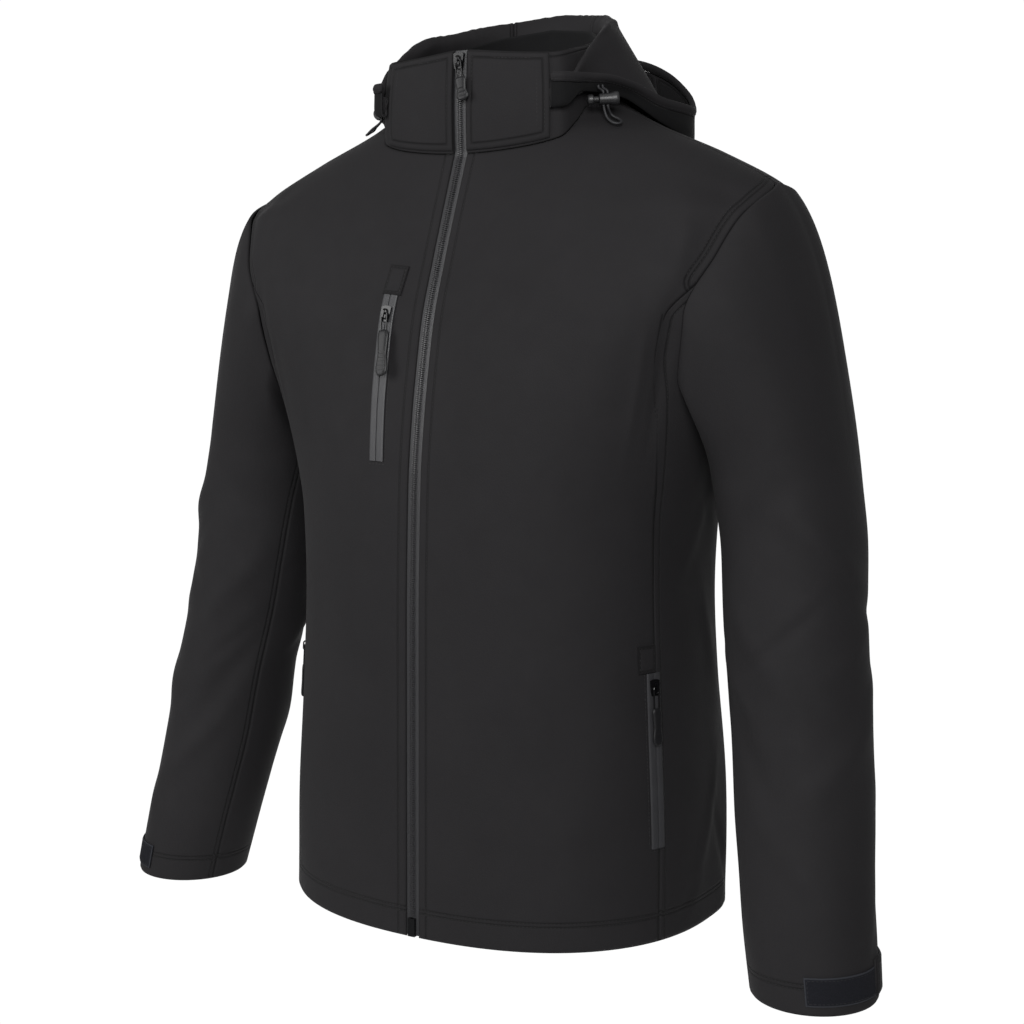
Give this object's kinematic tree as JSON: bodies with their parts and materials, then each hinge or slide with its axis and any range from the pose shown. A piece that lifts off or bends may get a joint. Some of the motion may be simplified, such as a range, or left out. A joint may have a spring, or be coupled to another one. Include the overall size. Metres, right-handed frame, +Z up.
{
  "type": "softshell jacket with fold-down hood",
  "caption": "Men's zip-through softshell jacket in its worn, hollow form, with stand collar, folded-down hood, chest and hand pocket zips, cord locks and cuff tabs.",
  "frame": {"origin": "between the two high points of the shoulders at the neck, where the wearer's shoulders carry the jacket", "axes": "+X to the wearer's left, -Y out of the front, +Z up"},
  "size_m": [0.7146, 0.3277, 0.7733],
  "materials": {
    "softshell": "matt black bonded softshell with a very fine plain weave",
    "zip_tape": "reverse coil zip, satin black coated tape",
    "loop_tape": "black hook and loop tape, short nap",
    "dark_metal": "gloss black painted die casting",
    "puller_rubber": "moulded black rubber, satin",
    "lock_plastic": "moulded black plastic, semi-matt",
    "cord": "round elastic cord, braided black cover"
  },
  "bodies": {
    "jacket": {"front_left": "softshell", "front_right": "softshell", "side_left": "softshell", "side_right": "softshell", "back": "softshell", "sleeve_upper_left": "softshell", "sleeve_upper_right": "softshell", "sleeve_under_left": "softshell", "sleeve_under_right": "softshell", "collar": "softshell", "collar_tab_left": "softshell", "collar_tab_right": "softshell", "hood_left": "softshell", "hood_right": "softshell", "hood_centre": "softshell", "hood_rim": "softshell", "cuff_tab_left": "softshell", "cuff_tab_right": "softshell", "chest_garage": "softshell", "hand_left_garage": "softshell", "hand_right_garage": "softshell", "zip_tape_left": "zip_tape", "zip_tape_right": "zip_tape", "chest_zip": "zip_tape", "hand_left_zip": "zip_tape", "hand_right_zip": "zip_tape", "cuff_loop_left": "loop_tape", "cuff_loop_right": "loop_tape", "zip_box": "dark_metal", "main_slider": "dark_metal", "chest_slider": "dark_metal", "hand_left_slider": "dark_metal", "hand_right_slider": "dark_metal", "cord_lock_left": "lock_plastic", "cord_lock_right": "lock_plastic", "plunger_left": "lock_plastic", "plunger_right": "lock_plastic", "drawcord_left": "cord", "drawcord_right": "cord"},
    "main_pull": {"main_link": "dark_metal", "main_puller": "puller_rubber"},
    "chest_pull": {"chest_link": "dark_metal", "chest_puller": "puller_rubber"},
    "hand_pull_left": {"hand_left_link": "dark_metal", "hand_left_puller": "puller_rubber"},
    "hand_pull_right": {"hand_right_link": "dark_metal", "hand_right_puller": "puller_rubber"}
  },
  "joints": [
    {"name": "main_pull_hinge", "type": "hinge", "parent": "jacket", "child": "main_pull", "pos_m": [0, -0.08964, 0.02697], "axis": [-0.9781, -0.0158, -0.2073], "range_deg": [0, 150]},
    {"name": "chest_pull_hinge", "type": "hinge", "parent": "jacket", "child": "chest_pull", "pos_m": [-0.03847, -0.13896, -0.17228], "axis": [-0.9935, 0.0091, -0.1133], "range_deg": [0, 150]},
    {"name": "hand_pull_left_hinge", "type": "hinge", "parent": "jacket", "child": "hand_pull_left", "pos_m": [0.17132, -0.07189, -0.46515], "axis": [-0.3736, -0.9276, 0.0009], "range_deg": [0, 150]},
    {"name": "hand_pull_right_hinge", "type": "hinge", "parent": "jacket", "child": "hand_pull_right", "pos_m": [-0.17132, -0.07189, -0.46515], "axis": [-0.3736, 0.9276, -0.0009], "range_deg": [0, 150]}
  ]
}
